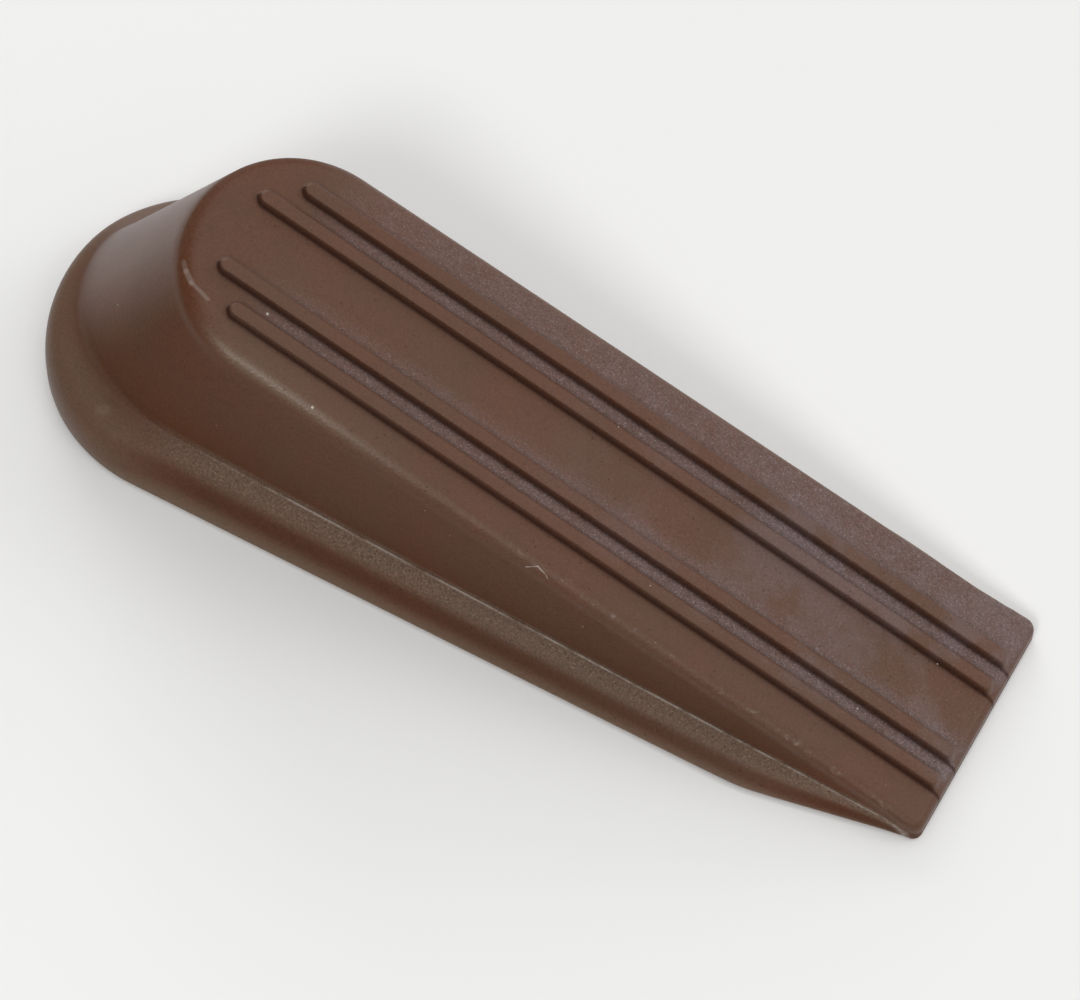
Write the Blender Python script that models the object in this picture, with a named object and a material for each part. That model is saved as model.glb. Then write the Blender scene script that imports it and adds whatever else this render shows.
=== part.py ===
"""Moulded rubber wedge door stop, lying on its flat underside.

One body: a ramped block with a rounded heel, a flange round its base, two pairs of grip ribs along
the ramp and a grid of pockets moulded into the underside. Metres, +Z up, +X towards the thin tip,
origin under the middle of the footprint.
"""
import math

import bmesh
import bpy
from mathutils import Vector

NODE = "wedge_body"

# Overall shape. Distances called "from heel" run along +X from the heel end of the base.
LENGTH = 0.120
BASE_HALF_WIDTH = 0.01975
RAMP_ANGLE = math.radians(17.27)
TIP_HEIGHT = 0.0027                     # height of the ramp plane at the tip

# Base outline: a nearly round heel, nearly parallel sides, and a taper over the last stretch.
BASE_HEEL_DEPTH = 0.0203                # from heel to where the sides run straight
BASE_WAIST_HALF_WIDTH = 0.0192          # where the last stretch starts to narrow
TAPER_START = 0.0997                    # from heel
TAPER_BLEND = 0.0016
BASE_TIP_HALF_WIDTH = 0.01495
BASE_CORNER_RADIUS = 0.0012

# Flange round the base, tall at the heel and running out at the tip.
FLANGE_HEIGHT_HEEL = 0.0076             # height of the crease between flange and wall
FLANGE_HEIGHT_TIP = 0.0021
FLANGE_UNDER_RAMP = 0.00175             # the crease stays this far under the ramp
# The crease round the heel: its distance from the heel and the depth of its arc, on the near side
# and on the far side, and where across the heel one shape gives way to the other.
WALL_FOOT_NEAR = (0.0036, 0.0215)
WALL_FOOT_FAR = (0.0024, 0.0185)
WALL_FOOT_CHANGE_START = -0.004
WALL_FOOT_CHANGE_WIDTH = 0.010
# Its section is a curve from the crease to the edge, with two guide points as shares of its width
# and height: first along the sides, second round the heel, where it is fuller.
FLANGE_TOP_SLOPES = (math.radians(19.5), math.radians(27))
FLANGE_TOP_GUIDES = (0.36, 0.60)
FLANGE_SIDE_GUIDES = (0.72, 1.04)
FLANGE_SIDE_HEIGHTS = (0.60, 0.92)
FLANGE_HEEL_END = 0.026
FLANGE_HEEL_FADE = 0.016
FLANGE_LEAST_SHOULDER = 0.8             # least height of the first guide point
FOOT_ROUND = 0.0008                     # radius of the edge that meets the floor,
FOOT_ROUND_OF_HEIGHT = 0.35             # and the most of the flange's height it may take

# Plate: the ramped top face and its rolled edge.
PLATE_HEEL = 0.0184                     # from heel to the plate's own heel
PLATE_HEEL_DEPTH = 0.0139
PLATE_HALF_WIDTH_HEEL = 0.0145
PLATE_HALF_WIDTH_TIP = 0.0151
PLATE_CORNER_RADIUS = 0.0020
WALL_DRAFT = 0.0001                     # how far the wall's foot stands out of the plate's edge
ROUND_HEEL = 0.0032                     # radius of the plate's rolled edge at the heel,
ROUND_SIDE_HEEL = 0.0028                # along the sides at their heel end,
ROUND_SIDE_TIP = 0.0016                 # along the sides at their tip end,
ROUND_TIP = 0.0009                      # and across the tip
WALL_GUIDE_INWARD = 0.50                # where the wall's guide point lies between its foot
WALL_GUIDE_UPWARD = 0.50                # and its top, inwards and upwards

# Ribs: (distance from the centre line, from heel to the rounded end).
RIBS = ((0.00483, 0.0244), (0.00883, 0.0279))
RIB_WIDTH = 0.0026
RIB_TOP_WIDTH = 0.0018
RIB_HEIGHT = 0.0011
RIB_SINK = 0.0006                       # how far a rib's root reaches under the ramp
RIB_TIP_GAP = 0.0007                    # from the ribs' square ends to the tip

# Pockets in the underside: a grid of drafted holes under the ramp.
POCKET_COLUMNS = 7
POCKET_START = 0.0262                   # from heel
POCKET_LENGTH = 0.0088
POCKET_PITCH_X = 0.0111
POCKET_WIDTH = 0.0062
POCKET_PITCH_Y = 0.0084
POCKET_CORNER = 0.0012
POCKET_DRAFT = math.radians(1.5)
ROOF = 0.0050                           # least thickness left under the ramp
OVERCUT = 0.0010                        # how far a cutter reaches past the face it opens

# Faceting of one half outline, and of the rolled edges.
HEEL_STEPS = 14
SIDE_STEPS = 14
CORNER_STEPS = 3
TIP_STEPS = 2
FOOT_STEPS = 2
FLANGE_STEPS = 6
ROLL_STEPS = 4
WALL_STEPS = 6
RIB_END_STEPS = 6
SMOOTH_ANGLE = math.radians(35)

RUBBER_COLOUR = (0.125, 0.069, 0.048, 1.0)
RUBBER_ROUGHNESS = 0.5


def ramp_height(x):
    """Height of the ramp plane at a distance from the heel."""
    return TIP_HEIGHT + (LENGTH - x) * math.tan(RAMP_ANGLE)


def smooth(amount):
    """0 to 1 with a level start and end."""
    amount = min(max(amount, 0.0), 1.0)
    return amount * amount * (3 - 2 * amount)


def flange_height(x):
    """Height of the crease: falls evenly to the tip, then runs out under the plate's edge."""
    along_side = FLANGE_HEIGHT_HEEL + (FLANGE_HEIGHT_TIP - FLANGE_HEIGHT_HEEL) * x / LENGTH
    return min(along_side, ramp_height(x) - FLANGE_UNDER_RAMP)


def base_half_width(x):
    """Nearly parallel, then a straight taper to the tip with a soft bend between the two."""
    side = (BASE_HALF_WIDTH - BASE_WAIST_HALF_WIDTH) / (TAPER_START - BASE_HEEL_DEPTH)
    tip = (BASE_WAIST_HALF_WIDTH - BASE_TIP_HALF_WIDTH) / (LENGTH - TAPER_START)
    past = x - TAPER_START
    bend = (past + math.hypot(past, TAPER_BLEND)) / 2
    return BASE_WAIST_HALF_WIDTH - side * past - (tip - side) * bend


def plate_half_width(x):
    along = (x - PLATE_HEEL) / (LENGTH - PLATE_HEEL)
    return PLATE_HALF_WIDTH_HEEL + (PLATE_HALF_WIDTH_TIP - PLATE_HALF_WIDTH_HEEL) * along


def wall_half_width(x):
    """The foot of the wall, which is also the flange's inner edge."""
    return plate_half_width(x) + WALL_DRAFT


def outline(heel, depth, half_width, corner):
    """A closed plan outline: elliptical heel, sides along half_width(x), rounded tip corners."""
    half = []
    shoulder = heel + depth
    for step in range(HEEL_STEPS):
        angle = math.pi / 2 * step / HEEL_STEPS
        half.append((shoulder - depth * math.cos(angle), half_width(shoulder) * math.sin(angle)))
    side_end = LENGTH - corner
    for step in range(SIDE_STEPS):
        x = shoulder + (side_end - shoulder) * step / SIDE_STEPS
        half.append((x, half_width(x)))
    centre_y = half_width(side_end) - corner
    for step in range(CORNER_STEPS + 1):
        angle = math.pi / 2 * step / CORNER_STEPS
        half.append((side_end + corner * math.sin(angle), centre_y + corner * math.cos(angle)))
    for step in range(1, TIP_STEPS + 1):
        half.append((LENGTH, centre_y * (1 - step / TIP_STEPS)))
    return half + [(x, -y) for x, y in half[-2:0:-1]]


def outward_normals(points):
    normals = []
    for index, _ in enumerate(points):
        before = Vector(points[index - 1])
        after = Vector(points[(index + 1) % len(points)])
        run = (after - before).normalized()
        normals.append(Vector((-run.y, run.x)))
    return normals


def inset(points, distances):
    """Each outline point moved inwards by its own distance."""
    moved = []
    for point, normal, distance in zip(points, outward_normals(points), distances):
        moved.append(tuple(Vector(point) - normal * distance))
    return moved


def roll_radius(x, y):
    """Radius of the plate's rolled edge: widest round the heel, least across the tip."""
    shoulder = PLATE_HEEL + PLATE_HEEL_DEPTH
    if x < shoulder:
        to_side = abs(y) / PLATE_HALF_WIDTH_HEEL
        return ROUND_HEEL + (ROUND_SIDE_HEEL - ROUND_HEEL) * to_side ** 2
    along = (x - shoulder) / (LENGTH - shoulder)
    if x > LENGTH - PLATE_CORNER_RADIUS:
        corner = (x - LENGTH + PLATE_CORNER_RADIUS) / PLATE_CORNER_RADIUS
        return ROUND_SIDE_TIP + (ROUND_TIP - ROUND_SIDE_TIP) * corner
    return ROUND_SIDE_HEEL + (ROUND_SIDE_TIP - ROUND_SIDE_HEEL) * along


def flange_point(edge, outwards, foot, share, foot_round):
    """A point of the flange's section: share 0 at the crease, share 1 at the edge."""
    height = flange_height(foot.x)
    heel = smooth((FLANGE_HEEL_END - edge.x) / FLANGE_HEEL_FADE)
    slope, top_out, side_out, side_up = (
        side + (round_heel - side) * heel for side, round_heel in
        (FLANGE_TOP_SLOPES, FLANGE_TOP_GUIDES, FLANGE_SIDE_GUIDES, FLANGE_SIDE_HEIGHTS))
    width = (edge - foot).dot(outwards)
    top_up = max(height - top_out * width * math.tan(slope), FLANGE_LEAST_SHOULDER * height)
    rest = 1 - share
    across = 3 * share * rest ** 2 * top_out + 3 * share ** 2 * rest * side_out + share ** 3
    rise = rest ** 3 * height + 3 * share * rest ** 2 * top_up
    rise += 3 * share ** 2 * rest * side_up * height + share ** 3 * foot_round
    point = foot + (edge - foot) * across
    return point.x, point.y, rise


def flange_loops(base, wall_foot):
    """From the floor up the flange's side, over its shoulder and in towards the crease."""
    foot_rounds = [min(FOOT_ROUND, FOOT_ROUND_OF_HEIGHT * flange_height(x)) for x, _ in wall_foot]
    loops = []
    for step in range(FOOT_STEPS):
        angle = math.pi / 2 * (1 - step / FOOT_STEPS)
        plan = inset(base, [radius * (1 - math.cos(angle)) for radius in foot_rounds])
        loops.append([(x, y, radius * (1 - math.sin(angle)))
                      for (x, y), radius in zip(plan, foot_rounds)])
    normals = outward_normals(base)
    for step in range(FLANGE_STEPS, 0, -1):
        loops.append([flange_point(Vector(edge), normal, Vector(foot), step / FLANGE_STEPS, radius)
                      for edge, normal, foot, radius in zip(base, normals, wall_foot, foot_rounds)])
    return loops


def wall_and_plate_loops(wall_foot, plate):
    """From the flange's inner edge up the wall and over the plate's rolled edge.

    The wall is a curve with one guide point. It leans in over the plate round the heel and stands
    upright along the sides. The roll takes over at the wall's own lean.
    """
    radii = [roll_radius(x, y) for x, y in plate]
    feet = [Vector((x, y, flange_height(x))) for x, y in wall_foot]
    leans = []
    for foot, (x, y), radius in zip(feet, plate, radii):
        run = math.hypot(x - foot.x, y - foot.y) * (1 - WALL_GUIDE_INWARD)
        rise = (ramp_height(x) - radius - foot.z) * (1 - WALL_GUIDE_UPWARD)
        leans.append(math.atan2(run, rise))
    rolls = []
    for step in range(ROLL_STEPS + 1):
        angles = [lean + (math.pi / 2 - lean) * step / ROLL_STEPS for lean in leans]
        shifts = [radius * (1 - math.cos(angle)) for radius, angle in zip(radii, angles)]
        rolls.append([Vector((x, y, ramp_height(x) - radius * (1 - math.sin(angle))))
                      for (x, y), radius, angle in zip(inset(plate, shifts), radii, angles)])
    walls = []
    for step in range(WALL_STEPS):
        along = step / WALL_STEPS
        inward = 2 * along * (1 - along) * WALL_GUIDE_INWARD + along ** 2
        upward = 2 * along * (1 - along) * WALL_GUIDE_UPWARD + along ** 2
        walls.append([foot + (top - foot) * Vector((inward, inward, upward))
                      for foot, top in zip(feet, rolls[0])])
    return walls + rolls


def centred(point):
    """From heel-based distances to the part's frame."""
    x, y, z = point
    return x - LENGTH / 2, y, z


def add_stack(mesh, loops):
    """A closed solid: loops of equal length bridged in order, capped at both ends."""
    rings = [[mesh.verts.new(centred(point)) for point in loop] for loop in loops]
    for lower, upper in zip(rings, rings[1:]):
        for index, _ in enumerate(lower):
            after = (index + 1) % len(lower)
            mesh.faces.new((lower[after], lower[index], upper[index], upper[after]))
    mesh.faces.new(rings[0])
    mesh.faces.new(rings[-1][::-1])


def finished_object(mesh, name):
    bmesh.ops.recalc_face_normals(mesh, faces=mesh.faces)
    data = bpy.data.meshes.new(name)
    mesh.to_mesh(data)
    mesh.free()
    made = bpy.data.objects.new(name, data)
    bpy.context.collection.objects.link(made)
    return made


def shell():
    """The outer skin of the wedge without its ribs and pockets."""
    base = outline(0.0, BASE_HEEL_DEPTH, base_half_width, BASE_CORNER_RADIUS)
    wall_foot = []
    for near, far in zip(outline(*WALL_FOOT_NEAR, wall_half_width, PLATE_CORNER_RADIUS),
                         outline(*WALL_FOOT_FAR, wall_half_width, PLATE_CORNER_RADIUS)):
        far_share = smooth((near[1] - WALL_FOOT_CHANGE_START) / WALL_FOOT_CHANGE_WIDTH)
        wall_foot.append(tuple(Vector(near).lerp(Vector(far), far_share)))
    plate = outline(PLATE_HEEL, PLATE_HEEL_DEPTH, plate_half_width, PLATE_CORNER_RADIUS)
    mesh = bmesh.new()
    add_stack(mesh, flange_loops(base, wall_foot) + wall_and_plate_loops(wall_foot, plate))
    return finished_object(mesh, NODE)


def rib_outline(offset, start, width):
    """Plan outline of one rib: a half-round heel end and a square tip end."""
    radius = width / 2
    points = [(LENGTH - RIB_TIP_GAP, offset - radius)]
    for step in range(RIB_END_STEPS + 1):
        angle = math.pi * step / RIB_END_STEPS
        points.append((start + radius * (1 - math.sin(angle)), offset - radius * math.cos(angle)))
    points.append((LENGTH - RIB_TIP_GAP, offset + radius))
    return points


def ribs():
    """All grip ribs, as drafted bars whose roots sink into the ramp."""
    mesh = bmesh.new()
    for offset, start in RIBS:
        for side in (-1, 1):
            loops = []
            for rise, width in ((-RIB_SINK, RIB_WIDTH), (0.0, RIB_WIDTH), (RIB_HEIGHT, RIB_TOP_WIDTH)):
                gap = (RIB_WIDTH - width) / 2
                loops.append([(x, y, ramp_height(x) + rise)
                              for x, y in rib_outline(side * offset, start + gap, width)])
            add_stack(mesh, loops)
    return finished_object(mesh, "rib_bars")


def pocket_outline(low_x, high_x, centre_y, half_width):
    """A rectangle with cut corners."""
    low_y = centre_y - half_width
    high_y = centre_y + half_width
    cut = POCKET_CORNER
    return [(low_x + cut, low_y), (high_x - cut, low_y), (high_x, low_y + cut), (high_x, high_y - cut),
            (high_x - cut, high_y), (low_x + cut, high_y), (low_x, high_y - cut), (low_x, low_y + cut)]


def pockets():
    """Drafted blocks, one for each hole in the underside."""
    mesh = bmesh.new()
    for column in range(POCKET_COLUMNS):
        low_x = POCKET_START + POCKET_PITCH_X * column
        high_x = low_x + POCKET_LENGTH
        ceiling = ramp_height(high_x) - ROOF
        shrink = (ceiling + OVERCUT) * math.tan(POCKET_DRAFT)
        for row in (-1, 0, 1):
            loops = []
            for height, narrower in ((-OVERCUT, 0.0), (ceiling, shrink)):
                plan = pocket_outline(low_x + narrower, high_x - narrower, row * POCKET_PITCH_Y,
                                      POCKET_WIDTH / 2 - narrower)
                loops.append([(x, y, height) for x, y in plan])
            add_stack(mesh, loops)
    return finished_object(mesh, "pocket_cutter")


def combine(body, tool, operation):
    boolean = body.modifiers.new(tool.name, "BOOLEAN")
    boolean.object = tool
    boolean.operation = operation
    boolean.solver = "EXACT"
    tool.hide_render = True
    tool.display_type = "WIRE"


def rubber():
    material = bpy.data.materials.new("brown_rubber")
    material.use_nodes = True
    shader = material.node_tree.nodes["Principled BSDF"]
    shader.inputs["Base Color"].default_value = RUBBER_COLOUR
    shader.inputs["Roughness"].default_value = RUBBER_ROUGHNESS
    shader.inputs["Metallic"].default_value = 0.0
    return material


def clear_scene():
    for existing in list(bpy.data.objects):
        bpy.data.objects.remove(existing, do_unlink=True)


def main():
    clear_scene()
    body = shell()
    body.data.materials.append(rubber())
    body.data.shade_smooth()
    body.data.set_sharp_from_angle(angle=SMOOTH_ANGLE)
    combine(body, ribs(), "UNION")
    combine(body, pockets(), "DIFFERENCE")


main()
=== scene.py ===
"""Looks of a moulded rubber wedge door stop: fine surface, rubber material, floor, light, camera.

Shapes are worked out in "x from heel" metres, +X towards the thin tip, and shifted into the
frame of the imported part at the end.
"""
import math

import bmesh
import bpy
import numpy as np
from mathutils import Matrix, Vector, noise


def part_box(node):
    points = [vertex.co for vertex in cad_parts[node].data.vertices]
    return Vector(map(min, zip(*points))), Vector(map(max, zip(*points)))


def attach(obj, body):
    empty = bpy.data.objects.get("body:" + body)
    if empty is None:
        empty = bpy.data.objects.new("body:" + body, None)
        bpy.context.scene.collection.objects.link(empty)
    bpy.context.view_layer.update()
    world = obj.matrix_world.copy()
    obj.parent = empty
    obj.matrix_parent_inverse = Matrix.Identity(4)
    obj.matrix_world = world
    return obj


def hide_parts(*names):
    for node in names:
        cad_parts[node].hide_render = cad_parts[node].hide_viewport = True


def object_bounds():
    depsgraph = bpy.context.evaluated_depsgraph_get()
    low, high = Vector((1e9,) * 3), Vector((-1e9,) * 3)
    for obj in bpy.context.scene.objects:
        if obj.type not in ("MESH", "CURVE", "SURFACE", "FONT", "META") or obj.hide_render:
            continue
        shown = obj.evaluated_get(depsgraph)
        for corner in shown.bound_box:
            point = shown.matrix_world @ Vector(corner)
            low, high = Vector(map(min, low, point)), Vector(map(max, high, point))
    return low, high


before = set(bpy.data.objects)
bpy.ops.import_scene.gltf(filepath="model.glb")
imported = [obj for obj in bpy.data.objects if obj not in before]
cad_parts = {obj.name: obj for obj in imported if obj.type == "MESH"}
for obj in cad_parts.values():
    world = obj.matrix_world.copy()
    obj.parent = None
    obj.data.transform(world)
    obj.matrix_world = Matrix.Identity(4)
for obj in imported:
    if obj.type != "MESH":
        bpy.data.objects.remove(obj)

cad_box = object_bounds()

NODE = "wedge_body"
MM = 0.001


def mm(*values):
    """Millimetres as metres."""
    return tuple(value * MM for value in values)


# Overall shape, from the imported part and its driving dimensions.
HEEL_CORNER, TIP_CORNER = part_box(NODE)
LENGTH = TIP_CORNER.x - HEEL_CORNER.x
BASE_HALF_WIDTH = (TIP_CORNER.y - HEEL_CORNER.y) / 2
RAMP_ANGLE = math.radians(17.27)
TIP_HEIGHT = 2.694 * MM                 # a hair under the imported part's, to stay inside its box

# Base outline and flange.
BASE_HEEL_DEPTH = 20.3 * MM
BASE_WAIST_HALF_WIDTH = 19.2 * MM       # where the last stretch starts to narrow
TAPER_START = 99.7 * MM
TAPER_BLEND = 1.6 * MM
FAR_TAPER_BLEND = 8.0 * MM              # the far side's bend is softer than the near side's
BASE_TIP_HALF_WIDTH = 14.95 * MM
BASE_CORNER_RADIUS = 1.2 * MM
FLANGE_HEIGHT_HEEL = 7.6 * MM           # height of the crease between flange and wall
FLANGE_HEIGHT_TIP = 2.1 * MM
FLANGE_UNDER_RAMP = 1.75 * MM           # the crease stays this far under the ramp
# The crease round the heel: its distance from the heel and the depth of its arc, on the near side
# and on the far side, and where across the heel one shape gives way to the other.
WALL_FOOT_NEAR = (3.6 * MM, 21.5 * MM)
WALL_FOOT_FAR = (2.4 * MM, 18.5 * MM)
WALL_FOOT_CHANGE_START = -4 * MM
WALL_FOOT_CHANGE_WIDTH = 10 * MM
# Its section is a curve from the crease to the edge, with two guide points as shares of its width
# and height: first along the sides, second round the heel, where it is fuller.
FLANGE_TOP_SLOPES = (math.radians(19.5), math.radians(27))
FLANGE_TOP_GUIDES = (0.36, 0.60)
FLANGE_SIDE_GUIDES = (0.72, 1.04)
FLANGE_SIDE_HEIGHTS = (0.60, 0.92)
FLANGE_LEAST_SHOULDER = 0.8             # the first guide is never under this share of the height
FLANGE_HEEL_END = 26 * MM
FLANGE_HEEL_FADE = 16 * MM
FOOT_ROUND = 0.8 * MM
FOOT_ROUND_OF_HEIGHT = 0.35

# Moulding flash: a thin ridge along the crease between flange and wall.
FLASH_HEIGHT = 0.16 * MM
FLASH_WIDTH = 0.16 * MM
FLASH_LEAST_ROOM = 2.5                  # the flange counts as at least this many flash widths wide
FLASH_RIDGE = 0.45                      # where its top lies, as a share of its width
FLASH_HEEL = mm(26, 48)                 # it grows over this stretch from the heel,
FLASH_TIP = mm(3, 11)                   # and shrinks over this stretch before the tip
FLASH_EVEN = 0.8
FLASH_BROKEN = 0.5
FLASH_BREAKS_PER_METRE = 160

# Round the heel the crease is filled, this far along and this widely.
FILLET_END = 24 * MM
FILLET_FADE = 14 * MM
FILLET_SPREAD = 3.0                     # loops either side
FILLET_PASSES = 3

# Plate: the ramped top face and its rolled edge, and the wall under it.
PLATE_HEEL = 18.4 * MM
PLATE_HEEL_DEPTH = 13.9 * MM
PLATE_HALF_WIDTH_HEEL = 14.5 * MM
PLATE_HALF_WIDTH_TIP = 15.1 * MM
PLATE_CORNER_RADIUS = 1.3 * MM
WALL_DRAFT = 0.1 * MM                   # the wall's foot is this much wider than the plate
ROUND_HEEL = 3.2 * MM
ROUND_SIDE_HEEL = 2.8 * MM
ROUND_SIDE_TIP = 1.6 * MM
ROUND_TIP = 0.9 * MM
ROUND_TIP_BLEND = 8.0 * MM              # length over which the side's radius becomes the tip's

# Ribs: their distances from the centre line, then where each one's rounded end starts.
RIB_INNER = 4.84 * MM
RIB_OUTER = 8.74 * MM
RIB_SHIFT = -0.11 * MM                  # how far all four lie off the centre line
RIB_STARTS = {-RIB_OUTER: 28.2 * MM, -RIB_INNER: 24.7 * MM, RIB_INNER: 24.1 * MM, RIB_OUTER: 27.6 * MM}
RIB_HALF_WIDTH = 1.34 * MM
RIB_NEAR_SHOULDER = 0.80 * MM           # from a rib's middle to where its near side falls away,
RIB_FAR_SHOULDER = 0.50 * MM            # and its softer far side
RIB_HEIGHT = 1.09 * MM
RIB_CROWN = 0.08 * MM                   # how much higher a rib's middle is than its shoulders
RIB_TIP_GAP = 0.5 * MM

# Pockets in the underside.
POCKET_COLUMNS = 7
POCKET_START = 26.2 * MM
POCKET_LENGTH = 8.8 * MM
POCKET_PITCH_X = 11.1 * MM
POCKET_WIDTH = 6.2 * MM
POCKET_PITCH_Y = 8.4 * MM
POCKET_CORNER = 1.2 * MM
POCKET_LEAST_CORNER = 0.3 * MM
POCKET_DRAFT = math.radians(1.5)
POCKET_RIM_ROUND = 0.35 * MM
POCKET_CEILING_ROUND = 0.8 * MM
POCKET_ROUND_OF_DEPTH = 1 / 3           # and never more than this share of the pocket's depth
ROOF = 5.0 * MM

# Slight unevenness of the ramp: its size, its waves per metre along and across, where it starts.
UNEVEN = 0.03 * MM
UNEVEN_WAVES = (90, 130)
UNEVEN_START = mm(20, 32)
UNEVEN_SEED = 8.1
FLASH_SEED = 3.7

# Where the surface changes. Each pair is where a mark is absent and where it is full: a height over
# the ramp, a distance from the heel, or a share of the flange's width or height.
RAMP_SURFACE = mm(-0.5, -0.1)
RIB_SURFACE = mm(0, 0.5)
# Grey bloom beside the ribs: its grey tint is partly the rough rubber's own and partly painted sheen.
BLOOM_BETWEEN = mm(1.6, 0.6)            # from the middle between two ribs
BLOOM_PAST_RIB = mm(0, 0.8)             # past the near inner and the far outer rib
BLOOM_STRIP_END = mm(3.6, 1.0)
BLOOM_PAST_DOMES = mm(2, 14)
BLOOM_BESIDE = 0.75
BLOOM_AT_HEEL = 0.6
# Grey blotches near the tip: partly painted sheen.
BLOTCHES_ALONG = mm(55, 100)
BLOTCHES_ACROSS = mm(-1, 1)             # from the near outer rib
# Where shade is painted along the near foot of each rib.
RIB_FOOT = 1.18 * MM                    # from a rib's middle
RIB_FOOT_SPREAD = 0.22 * MM
# The polished stretch of the near edge, which carries a painted highlight.
POLISH_HEIGHT, POLISH_SPREAD = mm(-0.7, 0.5)
POLISH_SIDE = -10 * MM
POLISH_HEEL = mm(24, 32)
POLISH_TIP = mm(60, 34)
# Light marks along the crest of both edges: wear and a painted highlight line.
CREST_HEIGHT, CREST_SPREAD = mm(-0.40, 0.22)
CREST_SIDE = 12 * MM
CREST_ALONG = mm(55, 80)
# The pale line of the flash carries a painted highlight.
FLASH_MARK, FLASH_MARK_SPREAD = mm(0.10, 0.07)
FLASH_MARK_ABOVE = 0.25 * MM
FLASH_MARK_ALONG = mm(24, 42)
# The flange's bands: a painted reflection on its top, painted shade on its middle, a painted reflection
# at its foot.
FLANGE_ABOVE_CREASE = 0.3 * MM
FLANGE_ALONG = mm(17, 31)
FLANGE_TOP_SHARE = (0.62, 0.28)
FLANGE_INNERMOST_SHARE = -0.05
FLANGE_MIDDLE_SHARE = (0.42, 0.64)
FLANGE_MIDDLE_RISE = (0.24, 0.52)
FLANGE_LOW_RISE = (0.5, 0.1)
FLANGE_ARC_END = 14 * MM                # up to here the outline is all heel arc
# Round the heel the painted reflection covers most of the flange's height.
HEEL_REFLECTION_ALONG = mm(24, 14)
HEEL_REFLECTION_RISE = (1.0, 0.85)
HEEL_REFLECTION_STRENGTH = 0.45
WALL_UNDER_RAMP = mm(0.8, 2.2)
WALL_OVER_CREASE = mm(-0.2, 0.8)
WALL_FAR = mm(-12, 1)
WALL_NEAR_HEEL = mm(50, 20)
WALL_PLAIN = 0.84
HEEL_ROLL_ALONG = mm(2, -8)             # from the end of the heel's arc
HEEL_ROLL_LOW = mm(-5, -2)
HEEL_ROLL_HIGH = mm(0.1, -0.4)
HEEL_FLANGE_ALONG = mm(30, 16)
HEEL_FLANGE_UNDER = mm(0, 1)
HEEL_FLANGE_STRENGTH = 0.25

# How finely each stretch is divided.
RIB_ROWS = np.array((0, 0.35, 0.55, 0.68, 0.76, 0.84, 0.91, 0.98, 1.05, 1.12, 1.19, 1.26, 1.33, 1.4,
                     1.47, 1.65)) * MM
MIDDLE_ROWS = 5
OUTER_ROWS = 14
RIM_CLEARANCE = 0.01                    # how far each outer row stays inside the next, as a share
FIRST_STEP = 0.5 * MM                   # between stations from the heel to the ribs' domes,
DOME_STEP = 0.16 * MM                   # over the domes,
LONG_STEP = 0.65 * MM                   # and on to the tip
DOMES_BEFORE = 0.6 * MM
DOMES_AFTER = 2.1 * MM
TIP_STATIONS = 12
TIP_STATIONS_START = 0.6 * MM
TIP_STATIONS_GAP = 0.1 * MM
SQUEEZE_HEEL = 0.8 * MM                 # stations give way over these lengths to fit a row's ends
SQUEEZE_HEEL_SHARE = 0.35
SQUEEZE_TIP = 2.6 * MM
RIM_BLEND = 5.0 * MM                    # the outer rows close up over this length before the tip
CORNER_STEPS = 8
FOOT_STEPS = 5
FLANGE_STEPS = 16
WALL_STEPS = 14
ROLL_STEPS = 12
POCKET_CORNER_STEPS = 5
POCKET_ROUND_STEPS = 4
ARC_SAMPLES = 2000
SMOOTH_ANGLE = math.radians(38)
FACING_DOWN = -0.9999                   # faces that look straight down stay flat


def smooth(amount):
    """0 to 1 with a level start and end."""
    t = np.clip(amount, 0, 1)
    return t * t * (3 - 2 * t)


def fade(value, none, full):
    """0 at one value and 1 at the other, with a level start and end."""
    return smooth((value - none) / (full - none))


def around(value, centre, spread):
    """1 at the centre, falling away on both sides."""
    return np.exp(-((value - centre) / spread) ** 2)


def ramp_height(x):
    return TIP_HEIGHT + (LENGTH - x) * math.tan(RAMP_ANGLE)


def flange_height(x):
    """Height of the crease: falls evenly to the tip, then runs out under the plate's edge."""
    along_side = FLANGE_HEIGHT_HEEL + (FLANGE_HEIGHT_TIP - FLANGE_HEIGHT_HEEL) * x / LENGTH
    return np.minimum(along_side, ramp_height(x) - FLANGE_UNDER_RAMP)


def base_half_width(x, blend=TAPER_BLEND):
    """Nearly parallel, then a straight taper to the tip with a soft bend between the two."""
    side = (BASE_HALF_WIDTH - BASE_WAIST_HALF_WIDTH) / (TAPER_START - BASE_HEEL_DEPTH)
    tip = (BASE_WAIST_HALF_WIDTH - BASE_TIP_HALF_WIDTH) / (LENGTH - TAPER_START)
    past = x - TAPER_START
    bend = (past + np.hypot(past, blend)) / 2
    return BASE_WAIST_HALF_WIDTH - side * past - (tip - side) * bend


def with_softer_far_bend(base):
    """The base outline with its far side drawn in a little round the bend."""
    x = base[:, 0]
    drawn_in = base_half_width(x) - base_half_width(x, FAR_TAPER_BLEND)
    far_side = (base[:, 1] > ROWS[-1]) & (x > BASE_HEEL_DEPTH)
    return base - np.stack((np.zeros_like(x), drawn_in * far_side), 1)


def plate_half_width(x):
    along = (x - PLATE_HEEL) / (LENGTH - PLATE_HEEL)
    return PLATE_HALF_WIDTH_HEEL + (PLATE_HALF_WIDTH_TIP - PLATE_HALF_WIDTH_HEEL) * along


def wall_half_width(x):
    return plate_half_width(x) + WALL_DRAFT


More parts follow.
